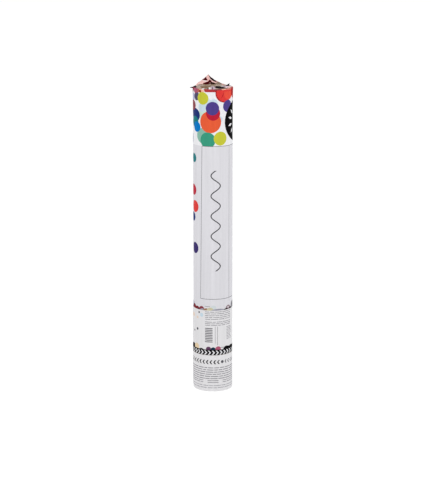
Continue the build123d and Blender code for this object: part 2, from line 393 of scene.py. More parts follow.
cad_materials = {
    "kraft_card": wound_card_material("kraft_card_wound", shade(178, 150, 116)),
    "sleeve_card": board_material("sleeve_board", shade(150, 146, 138)),
    "disc_card": board_material("disc_board", shade(176, 160, 138)),
    "base_plastic": plastic_material("base_plastic_black", shade(40, 40, 43), 0.46),
    "white_plastic": plastic_material("plastic_white", shade(226, 225, 220), 0.4),
    "stopper_plastic": plastic_material("plastic_red", shade(190, 40, 36), 0.38),
    "cartridge_aluminium": metal_material("aluminium_drawn", shade(208, 210, 214), (1, 1, 0.03), 0.32),
    "pin_steel": metal_material("steel_ground", shade(186, 186, 190), (0.05, 1, 1), 0.24),
    "seal_rubber": rubber_material("rubber_black"),
}


# Meshes

def added(name, data):
    """New object in the scene."""
    made = bpy.data.objects.new(name, data)
    bpy.context.scene.collection.objects.link(made)
    return made


def piece(name, points, faces, materials, face_slots, body, smooth=True):
    """Mesh object from millimetre points; each face has its place in the list of materials."""
    mesh = bpy.data.meshes.new(name)
    mesh.from_pydata([Vector(point) * MM for point in points], [], faces)
    for material in materials:
        mesh.materials.append(material)
    for polygon, face_slot in zip(mesh.polygons, face_slots):
        polygon.material_index = face_slot
        polygon.use_smooth = smooth
    mesh.update()
    made = added(name, mesh)
    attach(made, body)
    return made


def thicken(made, thickness, back_slot=0):
    """Gives a sheet its thickness on the inner side."""
    solid = made.modifiers.new("thickness", "SOLIDIFY")
    solid.thickness = thickness * MM
    solid.offset = -1.0
    solid.material_offset = back_slot


def free_edges_sharp(made):
    """Keeps the shading of a thin sheet flat up to its free edges."""
    uses = Counter(key for polygon in made.data.polygons for key in polygon.edge_keys)
    for edge in made.data.edges:
        edge.use_edge_sharp = uses[edge.key] == 1


# Outlines on a flat sheet

def depth_inside(point, side):
    """How far a point lies inside a side, which is its way inward and its place along that."""
    inward, limit = side
    return inward[0] * point[0] + inward[1] * point[1] - limit


def cut_to(outline, sides):
    """Part of a shape inside some straight sides."""
    for side in sides:
        depths = [depth_inside(point, side) for point in outline]
        kept = []
        for k, point in enumerate(outline):
            if (depths[k] >= 0) != (depths[k - 1] >= 0):
                share = depths[k - 1] / (depths[k - 1] - depths[k])
                kept.append(tuple(a + (b - a) * share for a, b in zip(outline[k - 1], point)))
            if depths[k] >= 0:
                kept.append(tuple(point))
        outline = kept
    return outline


def area(outline):
    """Area inside an outline, negative where it runs clockwise."""
    return sum(a[0] * b[1] - b[0] * a[1] for a, b in zip(outline, outline[1:] + outline[:1])) / 2


def turned_left(outline):
    """Outline that runs counterclockwise."""
    return outline if area(outline) > 0 else outline[::-1]


def split_sheet(points, layers):
    """Splits a flat sheet, the first layer, along all outlines; each triangle has its top layer's name."""
    corners = list(points)
    faces = []
    for name, outline in layers:
        faces.append(list(range(len(corners), len(corners) + len(outline))))
        corners += outline
    flat = [Vector(corner) for corner in corners]
    placed, _, triangles, _, _, sources = delaunay_2d_cdt(flat, [], faces, 0, CUT_TOLERANCE)
    kept = [(triangle, layers[max(source)][0]) for triangle, source in zip(triangles, sources) if 0 in source]
    return placed, [triangle for triangle, name in kept], [name for triangle, name in kept]


# Print, as shapes on the unrolled film: arc length from the front, and height

DOT_SIDES = 48
WAVE_STEPS = 20
SHORTEST_LINE = 4.0
LINE_LENGTHS = (9, 24)
LINE_GAPS = (1.6, 2.6)


def dot(ink, angle, height, radius):
    """Round dot."""
    steps = [math.tau * k / DOT_SIDES for k in range(DOT_SIDES)]
    middle = angle * DEGREE
    return ink, [(middle + radius * math.cos(step), height + radius * math.sin(step)) for step in steps]


def leaning_block(ink, left_low, left_high, right_low, right_high, low, high):
    """Block whose sides lean between two heights."""
    return ink, [(left_low * DEGREE, low), (right_low * DEGREE, low), (right_high * DEGREE, high),
                 (left_high * DEGREE, high)]


def block(ink, left, right, low, high):
    """Upright block between two angles and two heights."""
    return leaning_block(ink, left, left, right, right, low, high)


def chevron_row(ink, left, right, count, low, high, stroke_share, tip):
    """Row of arrow marks, each of two slanting strokes; a negative tip points to the left."""
    step = (right - left) * DEGREE / count
    stroke = stroke_share * step
    middle = (low + high) / 2
    marks = []
    for k in range(count):
        start = k * step + left * DEGREE
        end = start + stroke
        point = start + tip
        marks.append((ink, [(start, low), (end, low), (point + stroke, middle), (point, middle)]))
        marks.append((ink, [(point, middle), (point + stroke, middle), (end, high), (start, high)]))
    return marks


def streamer(ink, angle, low, high, swing, wave, width):
    """Wavy ribbon that runs up the film."""
    steps = WAVE_STEPS * round((high - low) / wave)
    left = []
    right = []
    for k in range(steps + 1):
        height = low + (high - low) * k / steps
        phase = math.tau * (height - low) / wave
        slope = swing * math.tau / wave * math.cos(phase)
        reach = width / 2 * math.sqrt(1 + slope * slope)
        middle = angle * DEGREE + swing * math.sin(phase)
        left.append((middle - reach, height))
        right.append((middle + reach, height))
    return ink, right + left[::-1]


def row_heights(low, high, rows):
    """Heights of even rows between two heights."""
    return [low + (high - low) * (row + 0.5) / rows for row in range(rows)]


def ruled_lines(ink, left, right, low, high, rows, thickness, seed):
    """Broken thin lines that fill a block."""
    luck = random.Random(seed)
    lines = []
    for height in row_heights(low, high, rows):
        start = left
        while start < right - SHORTEST_LINE:
            end = min(right, start + luck.uniform(*LINE_LENGTHS))
            lines.append(block(ink, start, end, height - thickness / 2, height + thickness / 2))
            start = end + luck.uniform(*LINE_GAPS)
    return lines


def bars(ink, left, right, low, high, rows, thickness):
    """Even solid bars, one above the other."""
    return [block(ink, left, right, height - thickness / 2, height + thickness / 2)
            for height in row_heights(low, high, rows)]


def sliver(ink, start, end, width):
    """Slim diamond from one point to another."""
    start, end = Vector(start), Vector(end)
    along = (end - start).normalized()
    side = Vector((-along.y, along.x)) * width / 2
    middle = (start + end) / 2
    return ink, [tuple(corner) for corner in (start, middle + side, end, middle - side)]


def burst(ink, angle, height, radius, rays, length, width):
    """Ring of slim diamonds that point away from a centre."""
    centre = Vector((angle * DEGREE, height))
    turns = [math.tau * (k + 0.5) / rays for k in range(rays)]
    ways = [Vector((math.cos(turn), math.sin(turn))) for turn in turns]
    return [sliver(ink, centre + way * (radius - length / 2), centre + way * (radius + length / 2), width)
            for way in ways]


# Heights of the printed zones
RIM_BAND_LOW = RIM_HEIGHT - 2.9
RIM_BAND_HIGH = RIM_HEIGHT + 3.0
BAND_LOW = 321.1
PANEL_LOW = 122.9
INFO_HIGH = 108.1
CHEVRONS_HIGH = 56.0
CHEVRONS_LINE = 1.2
CHEVRONS_INSET = 1.0

# Framed panel
PANEL_LEFT_LOW = -39.5
PANEL_LEFT_HIGH = -33.5
# The grey line up the panel at this angle is painted shade where the film's reflection changes.
PANEL_SHADE_LINE = 54.0
PANEL_RIGHT = 104.0
PANEL_LINE = 0.55

# Dots: ink, angle, height, radius
FRONT_DOTS = [
    ("pale_mint", -31, 361, 6.6), ("pale_blue", -14, 375.5, 5.2), ("pale_blue", 3, 375.5, 5),
    ("pale_blue", -33, 369.5, 5.5), ("sea_green", -29, 334, 9.8), ("pale_blue", 21, 355, 3.6),
    ("lavender", -77, 381, 5.6), ("dusk", -53.5, 382.9, 5.4), ("navy", -60, 359, 8.6),
    ("navy", -72, 364, 6), ("rosewood", -74, 370.8, 6.6), ("teal", -62, 350.5, 7.2),
    ("blue", -53, 344.5, 6.6), ("orange", -7, 351.5, 13.8), ("crimson", 1, 362.5, 9),
    # The brick dot under the red one is painted fold shade on the red dot's left side.
    ("wine", -89, 394, 9), ("wine", 16.5, 388.2, 1.7), ("brick", 35, 387.6, 12),
    ("red", 36.6, 388.2, 11.3), ("vermilion", 52, 386.6, 7.8), ("purple", 48.4, 370.8, 7.7),
    # The two apricot dots at the rim are painted highlights.
    ("clay", -48, 391, 3.4), ("raspberry", -59, 391, 4.6), ("apricot", -37, 391.8, 2.4),
    ("apricot", -30, 389.8, 2), ("rust", -38.8, 389.8, 2), ("lime", -30.4, 381, 7.9),
    ("purple", -1, 368.6, 8.5), ("green", -15, 328.5, 10), ("lime", 22.8, 330.6, 8.8),
    ("teal", -70, 304, 6), ("crimson", -73, 263, 7.2), ("red", -64, 242, 7.7),
    ("navy", -76, 228, 6), ("indigo", -64, 188, 7.3), ("teal", 76, 183, 5),
]
UPPER_STRIP_DOTS = [
    ("navy", -84, 112, 5), ("wine", -70, 108.4, 5.4), ("wine", -53, 107, 5.2),
    ("black", -46, 107.6, 2.4), ("rosewood", -35.4, 109, 4.2), ("lilac", -33, 107, 3.5),
    ("ochre", -20, 106.4, 4.6), ("mist", 2, 111.4, 3.6), ("straw", -8, 107.4, 4.8),
    ("lilac", 16.8, 87.6, 22.9), ("mauve", 51, 109, 4.6), ("pearl", 51, 110.8, 1.3),
    ("black", 42, 104.9, 5), ("black", 64, 105.8, 4.7), ("grey", 77, 112, 5), ("black", 88, 113, 5),
]
LOWER_STRIP_DOTS = [
    ("black", -74, 56, 5.4), ("gold", -55.6, 57.8, 4.7), ("black", -36, 52.2, 5),
    ("plum", -12.9, 56.6, 3.5), ("petrol", 0.8, 56.2, 3.2), ("raspberry", 15.6, 56.8, 3.7),
    ("black", 44, 53.8, 6), ("black", 55, 52.8, 6.2), ("black", 66, 53, 6.6),
    ("black", 84, 54.6, 5),
]
INFO_MARKS = [
    ("peach", -74, 99, 3), ("pale_blue", -35.4, 101.5, 2.6), ("peach", -52, 97.2, 1.8),
    ("dark_grey", -45, 104.4, 1.4), ("dark_grey", -67, 78.6, 1.3), ("slate", -52, 81.9, 1.7),
]
RIM_DOT = ("brick", 88, 388, 10)
BADGE = ("black", 97.6, 350.8, 26.5)
BASE_DOT = ("slate", 28.9, 39.3, 2)

# Painted shade and highlights where the film turns over the rim, as blocks: ink, left, right, depth under the
# rim. The rosewood block is painted shade, and the apricot and salmon ones are painted highlights
RIM_SHADE_AND_HIGHLIGHT_BLOCKS = [("rosewood", 5, 27, 0.7), ("apricot", 27, 42, 0.5), ("salmon", 44, 66, 1.0)]
# Painted shade of a crease in the film over the red dot, as a slim brick diamond.
RIM_CREASE_SHADE = ("brick", (24.5 * DEGREE, 380.8), (34.4 * DEGREE, 388.5), 1.3)

# Plain blocks: ink, left, right, low, high
UPPER_STRIP_LINE = ("grey", -25, -9, 113.2, 113.9)
LOWER_STRIP_LINE = ("dark_grey", 18, 34, 58.3, 59.0)
INFO_UPRIGHTS = [("dark_grey", 6.2, 7.2, 64, 87), ("slate", 13.4, 14.4, 62, 87)]

# Ruled blocks and bars: ink, left, right, low, high, rows, thickness, and a seed for broken lines
INFO_LINES = [("grey", -24, 62, 95.4, 107.4, 5, 0.8, 11), ("grey", -24, 62, 87.4, 94.0, 3, 0.8, 12)]
INFO_BARS = ("dark_grey", -24, -1, 65.4, 85.4, 9, 1.2)
INFO_SIDE_LINES = [("grey", 44, 66, 68, 86, 9, 0.7, 13), ("grey", 90, 276, 66, 106, 18, 0.7, 14)]
BASE_LINES = ("grey", -180, 178, 15.75, 33.15, 6, 1.1, 15)
BASE_BARS = ("grey", -16.3, 17.0, 10.65, 15.65, 2, 0.9)
BASE_SIDE_LINES = ("grey", 30, 330, 10.65, 15.65, 2, 0.9, 16)
BASE_FOOT_LINES = ("light_grey", -180, 178, 3.4, 9.2, 2, 1.1, 17)

# Dots round the sides and back
SCATTER_INKS = ["red", "lime", "purple", "navy", "orange", "teal", "pale_mint", "crimson", "blue",
                "pale_blue", "magenta", "green"]
SCATTER_SEED = 7
SCATTER_TRIES = 900
SCATTER_ANGLES = (92, 264)
SCATTER_RADII = (4.5, 9.5)
SCATTER_LIFT = 0.62
CROWDED = 0.82
SPARSE = 1.25
SPARSER = 2.2
STRIP_START = 92.0
STRIP_END = 266
STRIP_RADII = (3.5, 6.5)
STRIP_SPACING = (1.7, 2.6)


def scattered_dots():
    """Dots round the sides and back: crowded at the top, and fewer further down."""
    luck = random.Random(SCATTER_SEED)
    kept = []
    for attempt in range(SCATTER_TRIES):
        share = luck.random() ** SCATTER_LIFT
        height = PANEL_LOW + (RIM_HEIGHT - PANEL_LOW) * share
        angle = luck.uniform(*SCATTER_ANGLES)
        radius = luck.uniform(*SCATTER_RADII)
        crowding = CROWDED if height > BAND_LOW else SPARSE + SPARSER * (1 - share)
        place = Vector((angle * DEGREE, height))
        if all((place - other).length > crowding * (radius + size) for other, size in kept):
            kept.append((place, radius))
    return [dot(SCATTER_INKS[k % len(SCATTER_INKS)], place.x / DEGREE, place.y, size)
            for k, (place, size) in enumerate(kept)]


def strip_scatter(height, seed):
    """Dots of a narrow strip, round the sides and back."""
    luck = random.Random(seed)
    dots = []
    angle = STRIP_START
    while angle < STRIP_END:
        radius = luck.uniform(*STRIP_RADII)
        dots.append(dot(luck.choice(SCATTER_INKS), angle, height, radius))
        angle += radius / DEGREE * luck.uniform(*STRIP_SPACING)
    return dots


def rim_print():
    """Dots of the front, and the coloured film along the rim, with painted shade and highlights where it
    turns over the rim and painted shade in a crease.
    """
    shapes = [leaning_block("cherry", left_low=-23, left_high=-30, right_low=30, right_high=30,
                            low=RIM_BAND_LOW, high=RIM_BAND_HIGH)]
    shapes += [dot(*values) for values in FRONT_DOTS]
    shapes.append(block("red", left=30, right=80, low=RIM_BAND_LOW, high=RIM_BAND_HIGH))
    shapes.append(dot(*RIM_DOT))
    shapes += [block(ink, left, right, RIM_HEIGHT - depth, RIM_BAND_HIGH)
               for ink, left, right, depth in RIM_SHADE_AND_HIGHLIGHT_BLOCKS]
    return shapes + [sliver(*RIM_CREASE_SHADE)]


def badge():
    """Round badge with a ring of diamonds."""
    ink, angle, height, radius = BADGE
    return [dot(*BADGE)] + burst("white", angle, height, radius=16.5, rays=12, length=9.0, width=3.4)


def panel():
    """Plain panel with a wavy ribbon and a painted shade line up it, in a thin frame whose left side leans a
    little.
    """
    reach = PANEL_LINE / DEGREE
    left_low, left_high, right = PANEL_LEFT_LOW, PANEL_LEFT_HIGH, PANEL_RIGHT
    return [
        leaning_block("pearl", left_low, left_high, right, right, PANEL_LOW, BAND_LOW),
        block("grey", PANEL_SHADE_LINE, PANEL_SHADE_LINE + reach, PANEL_LOW, BAND_LOW),
        leaning_block("slate", left_low, left_high, left_low + reach, left_high + reach, PANEL_LOW, BAND_LOW),
        block("slate", right - reach, right, PANEL_LOW, BAND_LOW),
        block("slate", left_low, right, PANEL_LOW, PANEL_LOW + PANEL_LINE),
        block("slate", left_high, right, BAND_LOW - PANEL_LINE, BAND_LOW),
        streamer("charcoal", angle=8.5, low=160, high=290, swing=6.0, wave=26.0, width=1.3),
    ]


def info_print():
    """Label with ruled lines and bars, under a strip of dots."""
    shapes = strip_scatter(INFO_HIGH, seed=3)
    shapes.append(block(*UPPER_STRIP_LINE))
    shapes += [dot(*values) for values in UPPER_STRIP_DOTS]
    shapes.append(block("label", -180, 180, BARREL_LOW, INFO_HIGH))
    shapes += [dot(*values) for values in INFO_MARKS]
    for values in INFO_LINES:
        shapes += ruled_lines(*values)
    shapes += bars(*INFO_BARS)
    for values in INFO_SIDE_LINES:
        shapes += ruled_lines(*values)
    return shapes + [block(*values) for values in INFO_UPRIGHTS]


def chevron_print():
    """Row of arrow marks at the barrel's lower edge, under a strip of dots."""
    shapes = strip_scatter(CHEVRONS_HIGH, seed=4)
    shapes.append(block(*LOWER_STRIP_LINE))
    shapes += [dot(*values) for values in LOWER_STRIP_DOTS]
    shapes.append(block("white", -180, 180, BARREL_LOW, CHEVRONS_HIGH))
    shapes.append(block("black", -180, 180, CHEVRONS_HIGH - CHEVRONS_LINE, CHEVRONS_HIGH))
    return shapes + chevron_row("black", left=-174, right=186, count=31, low=BARREL_LOW,
                                high=CHEVRONS_HIGH - CHEVRONS_INSET, stroke_share=0.64, tip=2.6)


def barrel_print():
    """Shapes on the barrel's film, from the lowest layer to the top one."""
    shapes = [block("pearl", -180, 180, BARREL_LOW, BAND_LOW)]
    return shapes + scattered_dots() + rim_print() + badge() + panel() + info_print() + chevron_print()


def grip_print():
    """Shapes on the base's film."""
    shapes = chevron_row("black", left=-173.5, right=28.1, count=18, low=36.6, high=42.0,
                         stroke_share=0.36, tip=-2.1)
    shapes.append(dot(*BASE_DOT))
    shapes += chevron_row("slate", left=41.0, right=175.4, count=12, low=36.9, high=41.7,
                          stroke_share=0.3, tip=-1.7)
    shapes += ruled_lines(*BASE_LINES) + bars(*BASE_BARS)
    return shapes + ruled_lines(*BASE_SIDE_LINES) + ruled_lines(*BASE_FOOT_LINES)


# Film

def fine_edges(outline):
    """Outline with points along its edges, to follow the tube's curve."""
    fine = []
    for start, end in zip(outline, outline[1:] + outline[:1]):
        steps = max(1, math.ceil(abs(end[0] - start[0]) / LONGEST_EDGE))
        fine += [tuple(a + (b - a) * k / steps for a, b in zip(start, end)) for k in range(steps)]
    return fine


def laid_out(shapes, low, high):
    """Shapes cut to the film's edges; what crosses the lap is repeated on its other side."""
    laid = []
    edges = [((1, 0), -HALF_TURN), ((-1, 0), -HALF_TURN), ((0, 1), low), ((0, -1), -high)]
    for ink, outline in shapes:
        for turns in (-1, 0, 1):
            moved = [(across + 2 * HALF_TURN * turns, height) for across, height in outline]
            kept = cut_to(moved, edges)
            if abs(area(kept)) > SMALLEST_SHAPE:
                laid.append((ink, fine_edges(turned_left(kept))))
    return laid


def film_grid(low, high, fine_from):
    """Points that carry the film's curve, in closer rows from a height on."""
    heights = []
    height = low
    while height < high:
        heights.append(height)
        height += GATHERED_ROW if height > fine_from else PLAIN_ROW
    heights.append(high)
    points = []
    for row, height in enumerate(heights):
        shift = 0.5 if row % 2 else 0.0
        between = [(2 * (k + shift) / FILM_COLUMNS - 1) * HALF_TURN for k in range(1, FILM_COLUMNS)]
        points += [(across, height) for across in [-HALF_TURN] + between + [HALF_TURN]]
    return points


def film_piece(name, low, high, fine_from, ground, shapes, surface, node, body):
    """Printed film: the flat sheet is split along every printed edge and rolled up."""
    sheet = [(-HALF_TURN, low), (HALF_TURN, low), (HALF_TURN, high), (-HALF_TURN, high)]
    layers = [(ground, sheet)] + laid_out(shapes, low, high)
    placed, triangles, inks = split_sheet(film_grid(low, high, fine_from), layers)
    corners = [surface(point.x / DEGREE, point.y) for point in placed]
    slots = [ink_order.index(ink) for ink in inks]
    made = piece(name, corners, triangles, list(ink_materials.values()), slots, body)
    free_edges_sharp(made)
    thicken(made, FILM_THICKNESS)
    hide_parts(node)


def eased(share):
    """Smooth step from 0 to 1."""
    share = min(1.0, max(0.0, share))
    return share * share * (3 - 2 * share)


def film_swell(angle, height):
    """How far the film stands off the cylinder: gathers at the mouth, slack and the lap."""
    turn = math.radians(angle)
    fade = math.exp(-max(0.0, RIM_HEIGHT - height) / GATHER_FADE)
    swell = sum(share * (1 + math.cos(count * turn + start + GATHER_LEAN * height))
                for count, start, share in GATHERS)
    slack = eased(1 - abs(angle - SLACK_ANGLE) / SLACK_REACH)
    slack *= eased((INFO_HIGH + SLACK_FADE / 2 - height) / SLACK_FADE) * eased(height / SLACK_FADE)
    lap = eased((angle - LAP_ANGLE) / LAP_EASE)
    return GATHER_DEPTH * fade * swell + SLACK_RISE * slack + LAP_RISE * lap


def rolled(angle, radius, height):
    """Point round the tube."""
    turn = math.radians(angle)
    return (radius * math.sin(turn), -radius * math.cos(turn), height)


def hinge_radius_at(angle):
    """Distance of the flaps' folds, the sides of an octagon, from the axis."""
    step = 360 / FLAP_COUNT
    from_middle = (angle - 90) % step - step / 2
    return HINGE_RADIUS * math.cos(math.radians(step / 2)) / math.cos(math.radians(from_middle))


def barrel_surface(angle, height):
    """Barrel's film: a cylinder that turns over the rim to the flaps' folds."""
    radius = FILM_RADIUS + film_swell(angle, height)
    if height <= RIM_HEIGHT:
        return rolled(angle, radius, height)
    bend = (height - RIM_HEIGHT) / TURNOVER_LENGTH * math.pi / 2
    inward = (1 - math.cos(bend)) * (radius - hinge_radius_at(angle))
    return rolled(angle, radius - inward, RIM_HEIGHT + TURNOVER_RISE * math.sin(bend))


def grip_surface(angle, height):
    """Base's film: a plain cylinder with its lap and slack."""
    return rolled(angle, FILM_RADIUS + film_swell(angle, height), height)


film_piece("barrel_film", BARREL_LOW, RIM_HEIGHT + TURNOVER_LENGTH, RIM_HEIGHT - GATHERED_DEPTH, "white",
           barrel_print(), barrel_surface, "barrel_wrap", "barrel")
film_piece("grip_film", GRIP_LOW, GRIP_HIGH, GRIP_HIGH, "label", grip_print(), grip_surface,
           "grip_wrap", "base")


# Foil over the mouth. Patches of the front flaps are placed as they are seen from the front and a little
# above: sideways from the axis, and up from the rim. Those of the other flaps are shares of the flap.

VIEW_TILT = math.radians(8.0)
# Painted light and shade of the front flaps over their pink film: near-white, pale pink, rose and mauve
# patches are painted highlights, bronze and taupe painted reflections, and maroon, the near-black red and the
# dark band along the front rim painted shade.
FOIL_PATCHES = [
    ("taupe", [(-19, 3.2), (-11, 4.4), (4.5, 4.6), (12, 4), (20, 2.4), (20, -6), (-22, -6)]),
    ("blush", [(-17.6, 5.2), (-12.6, 9.8), (-9.4, 9.6), (-5.9, 7.3), (-11, 4.6), (-15, 3.8)]),
    ("painted_highlight", [(-13.2, 7.6), (-9.8, 8.2), (-6.5, 7.2), (-9, 6.8)]),
    ("maroon", [(-14.2, 8.9), (-9.2, 14.2), (-7.5, 11.4), (-6.4, 8.5), (-9.8, 8.3)]),
    ("blush", [(-8.6, 13.4), (-6, 16.4), (-4, 12), (-0.8, 8.6), (4.2, 6.2), (5.6, 4.6), (3.2, 5.2),
               (-0.4, 6.7), (-2.4, 8.2), (-4.3, 9.2), (-5.9, 8.5), (-7.5, 10.7)]),
    ("painted_highlight", [(-4.9, 11.2), (-4, 11.2), (-2.4, 9.2), (-4, 10)]),
    ("painted_shadow", [(-6.2, 16.4), (-4.6, 15.8), (-1.2, 12.2), (2.8, 9.2), (4.8, 7.4), (3.2, 6.3), (-0.2, 8.2),
              (-3.2, 10.6)]),
    ("maroon", [(-12.6, 3.6), (-5.9, 6.9), (-4.3, 9.2), (-2, 7.8), (-1, 6.6), (-2.4, 3.8), (-7.9, 3.5)]),
    ("bronze", [(-5.2, 6.3), (-3.6, 5.9), (-1.4, 4.7), (-3.4, 5.2)]),
    ("painted_shadow", [(-1.6, 6.9), (0.8, 5.7), (5, 4.7), (2, 3.2), (-2.4, 3.6)]),
    ("bronze", [(4.3, 6.4), (7.1, 7.6), (9.5, 6.6), (12, 3.6), (7.9, 2.8), (4, 3.6)]),
    ("bronze", [(-18.2, 2.8), (-11, 3.8), (4, 3.8), (4, 2.4), (-9, 2.2)]),
    ("bronze", [(-16, 0.8), (-4, 1.6), (2.4, 1.8), (-4, 0.2), (-6.4, -1.6), (-12.6, -1.8)]),
    ("dark", [(1.6, 0), (4, 1.3), (8, 1.1), (12, 0.2), (18.2, -1.2), (13, -2.2), (8, -1.9),
              (4, -1.2)]),
    ("mauve", [(11.4, 1.4), (14.6, 1.6), (16.6, 0.2), (12.4, 0.3)]),
    ("painted_highlight", [(-13.4, -1.5), (-10.6, -1.4), (-10.2, -2.3), (-12.8, -2.4)]),
    ("painted_shadow", [(-6.4, -1.4), (-5.2, -1.2), (-5, -3.6), (-6.6, -3.6)]),
    ("painted_highlight", [(-5, -0.6), (-2.6, -0.2), (-2.6, -4), (-5, -4)]),
    ("mauve", [(-2, 1), (1.8, 1), (3.4, -1.4), (3, -4), (-2, -4)]),
    ("dark", [(-0.8, 0.2), (-0.1, 0.2), (0.4, -3), (-0.6, -3)]),
    ("painted_highlight", [(3.6, -2.8), (16.4, -2.4), (17, -3.2), (3.6, -3.6)]),
    ("blush", [(20.6, 3), (26, 3), (26, -3), (20, -3)]),
    ("dark", [(-20.2, 0.8), (-21.8, 2.6), (-24.4, 1.8), (-24.4, -0.8), (-20.8, -0.9)]),
]
# Painted light and shade of the other flaps, as shares across and up a flap: a painted reflection band along
# the fold, painted highlights on the faces, and painted shade down the pleat's valley.
PLEAT_PATCHES = [
    ("taupe", [(0, 0), (1, 0), (1, 0.2), (0.74, 0.3), (0.46, 0.2), (0.2, 0.34), (0, 0.24)]),
    ("bronze", [(0.1, 0), (0.62, 0), (0.5, 0.14), (0.3, 0.1)]),
    ("rose", [(0, 0.34), (0.22, 0.36), (0.34, 0.66), (0, 0.84)]),
    ("maroon", [(0.66, 0.32), (1, 0.24), (1, 0.9), (0.84, 0.56)]),
    ("painted_shadow", [(0.86, 0.3), (1, 0.26), (1, 0.7)]),
    ("painted_highlight", [(0.36, 0.4), (0.46, 0.36), (0.58, 0.7), (0.5, 0.74)]),
    ("mauve", [(0.62, 0.05), (0.82, 0.04), (0.78, 0.16)]),
]
PLEAT_JITTER = 0.07
PATCH_TRIES = 12
PATCH_STEP = 0.6
SMALLEST_PATCH = 0.05
NEAR_PEAK = 1e-3

# Scraps of film at the rim: places across and back, and up from the rim
TAIL = [(-24.9, -0.8, 0.35), (-26.3, -0.6, 0.3), (-28.7, 0.0, -0.35), (-28.4, 0.1, -0.95),
        (-26.2, -0.5, -1.15), (-24.9, -0.8, -1.2)]
EARS = {
    8: [("dark", [(14.6, -13.6, 2.8), (20.4, -10.4, 2.8), (21.2, -9.6, 6.6), (18.4, -10.0, 4.8)]),
        ("mauve", [(15.2, -13.7, 2.6), (17.0, -12.8, 0.9), (19.6, -10.6, 2.7)])],
}

noise.seed_set(NOISE_SEED)


def rim_corner(number):
    """Corner of the octagon where two flaps meet at the rim."""
    turn = math.tau * number / FLAP_COUNT
    return Vector((HINGE_RADIUS * math.cos(turn), HINGE_RADIUS * math.sin(turn), HINGE_HEIGHT))


def flap_axes(number):
    """Middle of a flap's fold, and the ways along the fold and up to the peak."""
    start = rim_corner(number - 1)
    end = rim_corner(number)
    middle = (start + end) / 2
    along = (end - start).normalized()
    outward = along.cross(PEAK - middle).normalized()
    return middle, along, outward.cross(along)


def crumpled(point):
    """Where the crumpling takes a point of a flat flap; its fold stays."""
    share = min(1.0, max(0.0, (point.z - HINGE_HEIGHT) / (PEAK.z - HINGE_HEIGHT)))
    base = (point - PEAK * share) / max(1 - share, NEAR_PEAK)
    turn = (math.degrees(math.atan2(base.y, base.x)) % 360) / (360 / FLAP_COUNT)
    before = int(turn) % FLAP_COUNT
    after = (before + 1) % FLAP_COUNT
    sag = CORNER_SAGS[before] + (CORNER_SAGS[after] - CORNER_SAGS[before]) * (turn - int(turn))
    shakes = [noise.noise_vector(point * fineness) * height for fineness, height in CRUMPLES]
    hold = min(1.0, FOLD_HOLD * share) * (1 - PEAK_HOLD * share)
    return point + sum(shakes, Vector()) * hold - Vector((0, 0, 4 * sag * share * (1 - share)))


def triangle_sides(corners):
    """Sides of a triangle whose corners run counterclockwise."""
    sides = []
    for start, end in zip(corners, corners[1:] + corners[:1]):
        along = (end - start).normalized()
        inward = Vector((-along.y, along.x))
        sides.append((inward, inward.dot(start)))
    return sides


def seen_from_front(point):
    """Place of a point as seen from the front: sideways, and up from the rim."""
    view = Vector((0, math.sin(VIEW_TILT), math.cos(VIEW_TILT)))
    return Vector((point.x, (point - Vector((0, 0, RIM_HEIGHT))).dot(view)))


def pleat_patch(outline, half_width, tip, mirrored, luck):
    """Outline on a flap's plane from shares of the flap, a little shaken."""
    placed = []
    for across, up in outline:
        if 0 < across < 1:
            across += luck.uniform(-PLEAT_JITTER, PLEAT_JITTER)
        if up > 0:
            up += luck.uniform(-PLEAT_JITTER, PLEAT_JITTER)
        share = 1 - across if mirrored else across
        placed.append(Vector((half_width * (2 * share - 1), 0)).lerp(tip, up))
    return placed


def patch_on_flap(outline, middle, along, upward):
    """Outline on a flap's plane that the crumpling takes to where it is seen from the front."""
    start = seen_from_front(middle)
    columns = [seen_from_front(middle + along) - start, seen_from_front(middle + upward) - start]
    to_plane = Matrix(columns).transposed().inverted()
    placed = []
    for corner in outline:
        place = to_plane @ (Vector(corner) - start)
        for attempt in range(PATCH_TRIES):
            reached = seen_from_front(crumpled(middle + along * place.x + upward * place.y))
            place += to_plane @ (Vector(corner) - reached) * PATCH_STEP
        placed.append(place)
    return placed


def flap_patches(number, half_width, tip, luck):
    """Patches of painted highlight, reflection and shade of a flap, as outlines on its plane."""
    if number in FRONT_FLAPS:
        return [(foil, patch_on_flap(outline, *flap_axes(number))) for foil, outline in FOIL_PATCHES]
    mirrored = number % 2 == 0
    return [(foil, pleat_patch(outline, half_width, tip, mirrored, luck)) for foil, outline in PLEAT_PATCHES]


def facet_points(half_width, tip, edges, luck):
    """Loose points that split a flap into facets, clear of its edges."""
    points = []
    for attempt in range(FACET_TRIES):
        place = Vector((luck.uniform(-half_width, half_width), luck.uniform(0, tip.y)))
        apart = all((place - other).length > FACET_SPACING for other in points)
        if apart and min(depth_inside(place, edge) for edge in edges) > FACET_MARGIN:
            points.append(place)
    return points


def used_only(points, faces):
    """Points that the faces use, and the faces with their new numbers."""
    used = sorted({index for face in faces for index in face})
    places = {index: k for k, index in enumerate(used)}
    return [points[index] for index in used], [[places[index] for index in face] for face in faces]


def fan(corners, start=0):
    """Triangles between corners that are numbered from the start."""
    return [(start, start + k - 1, start + k) for k in range(2, len(corners))]


def rippled(made):
    """Splits a piece's facets so that each ripples a little, with sharp creases between them."""
    mesh = bmesh.new()
    mesh.from_mesh(made.data)
    for edge in mesh.edges:
        edge.smooth = False
    bmesh.ops.subdivide_edges(mesh, edges=mesh.edges[:], cuts=FACET_CUTS, use_grid_fill=True)
    for vertex in mesh.verts:
        point = vertex.co / MM
        hold = min(1.0, max(0.0, (point.z - HINGE_HEIGHT) / RIPPLE_START))
        for fineness, height in RIPPLES:
            vertex.co += noise.noise_vector(point * fineness) * height * hold * MM
    mesh.to_mesh(made.data)
    mesh.free()


